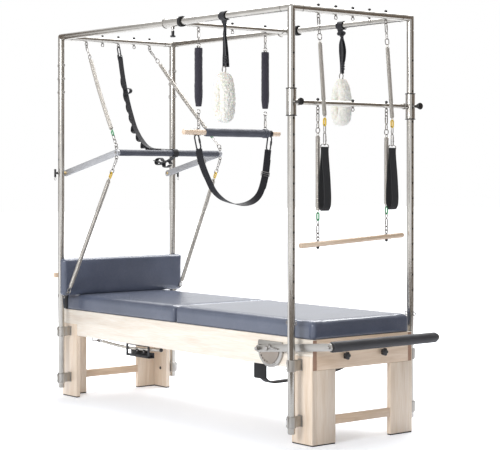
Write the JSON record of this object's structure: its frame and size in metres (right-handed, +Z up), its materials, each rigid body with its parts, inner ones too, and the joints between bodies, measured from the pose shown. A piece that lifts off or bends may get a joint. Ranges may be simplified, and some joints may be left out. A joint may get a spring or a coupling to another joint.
{
  "type": "pilates trapeze table",
  "caption": "Padded wooden exercise bed under a steel tube frame with a sliding trapeze, swing bar, height-set tower bar, springs, loops and a folding foot bar.",
  "frame": {"origin": "centre of the bounding box's footprint, on the floor", "axes": "+X along the bed towards the end with the foot bar, +Y to the far side, +Z up"},
  "size_m": [2.4878, 0.93, 2.211],
  "materials": {
    "maple": "satin",
    "steel": "satin",
    "chrome": "polished",
    "vinyl": "satin",
    "foam": "matte",
    "plastic": "satin",
    "webbing": "matte",
    "fleece": "matte"
  },
  "bodies": {
    "frame": {"side_rail_near": "maple", "side_rail_far": "maple", "head_apron": "maple", "head_stretcher": "maple", "foot_apron": "maple", "foot_stretcher": "maple", "leg_head_near": "maple", "leg_head_far": "maple", "leg_foot_near": "maple", "leg_foot_far": "maple", "bed_deck": "maple", "mattress_head": "vinyl", "mattress_foot": "vinyl", "back_pad": "vinyl", "back_pad_batten": "maple", "post_foot_near": "steel", "post_head_near": "steel", "post_foot_far": "steel", "post_head_far": "steel", "top_rail_near": "steel", "top_rail_far": "steel", "top_rail_head": "steel", "top_rail_foot": "steel", "push_spring_upper_near": "chrome", "push_spring_lower_near": "chrome", "push_spring_upper_far": "chrome", "push_spring_lower_far": "chrome", "safety_strap": "webbing", "footbar_quadrant_near": "steel", "footbar_quadrant_far": "steel", "foot_strap": "webbing", "underbed_bracket": "plastic", "underbed_spring": "chrome"},
    "push_bar": {"push_bar": "steel"},
    "push_pin_near": {"push_pin_near": "plastic"},
    "push_pin_far": {"push_pin_far": "plastic"},
    "footbar": {"footbar": "steel"},
    "footbar_lock_pin": {"footbar_lock_pin": "chrome"},
    "footbar_latch": {"footbar_latch": "chrome"},
    "tower": {"crossbar": "steel"},
    "tower_knob_near": {"crossbar_knob_near": "plastic"},
    "tower_knob_far": {"crossbar_knob_far": "plastic"},
    "rolldown": {"rolldown_bar": "maple", "rolldown_spring_near": "chrome", "rolldown_spring_far": "chrome"},
    "foot_loop_near": {"foot_loop_near": "webbing", "foot_loop_spring_near": "chrome"},
    "foot_loop_far": {"foot_loop_far": "webbing", "foot_loop_spring_far": "chrome"},
    "carrier": {"carrier": "steel"},
    "carrier_knob": {"carrier_knob": "plastic"},
    "trapeze": {"trapeze_bar": "maple", "trapeze_grip": "foam", "trapeze_spring_near": "webbing", "trapeze_spring_far": "webbing"},
    "sling": {"sling": "webbing"},
    "hanging_loop_near": {"hanging_loop_near": "fleece"},
    "hanging_loop_far": {"hanging_loop_far": "fleece"},
    "star_knob_near": {"star_knob_near": "plastic"},
    "star_knob_far": {"star_knob_far": "plastic"}
  },
  "joints": [
    {"name": "push_bar_swing", "type": "hinge", "parent": "frame", "child": "push_bar", "pos_m": [-1.1519, 0, 1.358], "axis": [0, -1, 0], "range_deg": [-10, 40], "stiffness_Nm_per_rad": 70, "springref_deg": 14.7, "deforming": ["push_spring_upper_near", "push_spring_upper_far", "push_spring_lower_near", "push_spring_lower_far", "safety_strap"]},
    {"name": "push_pin_near_pull", "type": "slide", "parent": "frame", "child": "push_pin_near", "axis": [0, -1, 0], "range_m": [0, 0.03]},
    {"name": "push_pin_far_pull", "type": "slide", "parent": "frame", "child": "push_pin_far", "axis": [0, 1, 0], "range_m": [0, 0.03]},
    {"name": "footbar_swing", "type": "hinge", "parent": "frame", "child": "footbar", "pos_m": [0.7401, 0, 0.463], "axis": [0, -1, 0], "range_deg": [0, 75]},
    {"name": "footbar_lock_pin_pull", "type": "slide", "parent": "footbar", "child": "footbar_lock_pin", "axis": [0, -1, 0], "range_m": [-0.006, 0.008]},
    {"name": "footbar_latch_turn", "type": "hinge", "parent": "footbar", "child": "footbar_latch", "pos_m": [0.76996, -0.378, 0.46588], "axis": [0, -1, 0], "range_deg": [0, 25]},
    {"name": "tower_height", "type": "slide", "parent": "frame", "child": "tower", "axis": [0, 0, 1], "range_m": [-0.243, 0.162]},
    {"name": "tower_knob_near_pull", "type": "slide", "parent": "tower", "child": "tower_knob_near", "axis": [1, 0, 0], "range_m": [-0.006, 0.008]},
    {"name": "tower_knob_far_pull", "type": "slide", "parent": "tower", "child": "tower_knob_far", "axis": [1, 0, 0], "range_m": [-0.006, 0.008]},
    {"name": "rolldown_swing", "type": "hinge", "parent": "tower", "child": "rolldown", "pos_m": [0.9821, 0, 1.6735], "axis": [0, 1, 0], "range_deg": [0, 45]},
    {"name": "foot_loop_near_swing", "type": "hinge", "parent": "frame", "child": "foot_loop_near", "pos_m": [0.9821, -0.236, 2.138], "axis": [0, -1, 0], "range_deg": [0, 40]},
    {"name": "foot_loop_far_swing", "type": "hinge", "parent": "frame", "child": "foot_loop_far", "pos_m": [0.9821, 0.236, 2.138], "axis": [0, -1, 0], "range_deg": [0, 40]},
    {"name": "carrier_slide", "type": "slide", "parent": "frame", "child": "carrier", "axis": [1, 0, 0], "range_m": [-0.4, 0.33]},
    {"name": "carrier_knob_turn_out", "type": "slide", "parent": "carrier", "child": "carrier_knob", "axis": [0, 0, -1], "range_m": [0, 0.006]},
    {"name": "trapeze_swing", "type": "hinge", "parent": "carrier", "child": "trapeze", "pos_m": [-0.0109, 0, 2.142], "axis": [0, 1, 0], "range_deg": [-45, 45]},
    {"name": "sling_swing", "type": "hinge", "parent": "trapeze", "child": "sling", "pos_m": [-0.0109, 0, 1.584], "axis": [0, 1, 0], "range_deg": [-60, 60]},
    {"name": "hanging_loop_near_swing", "type": "hinge", "parent": "frame", "child": "hanging_loop_near", "pos_m": [0.4421, -0.416, 2.18], "axis": [-1, 0, 0], "range_deg": [-30, 60]},
    {"name": "hanging_loop_far_swing", "type": "hinge", "parent": "frame", "child": "hanging_loop_far", "pos_m": [0.4421, 0.416, 2.18], "axis": [1, 0, 0], "range_deg": [-30, 60]},
    {"name": "star_knob_near_turn", "type": "hinge", "parent": "frame", "child": "star_knob_near", "pos_m": [1.0751, -0.131, 0.438], "axis": [1, 0, 0], "continuous": true},
    {"name": "star_knob_far_turn", "type": "hinge", "parent": "frame", "child": "star_knob_far", "pos_m": [1.0751, 0.131, 0.438], "axis": [1, 0, 0], "continuous": true}
  ]
}
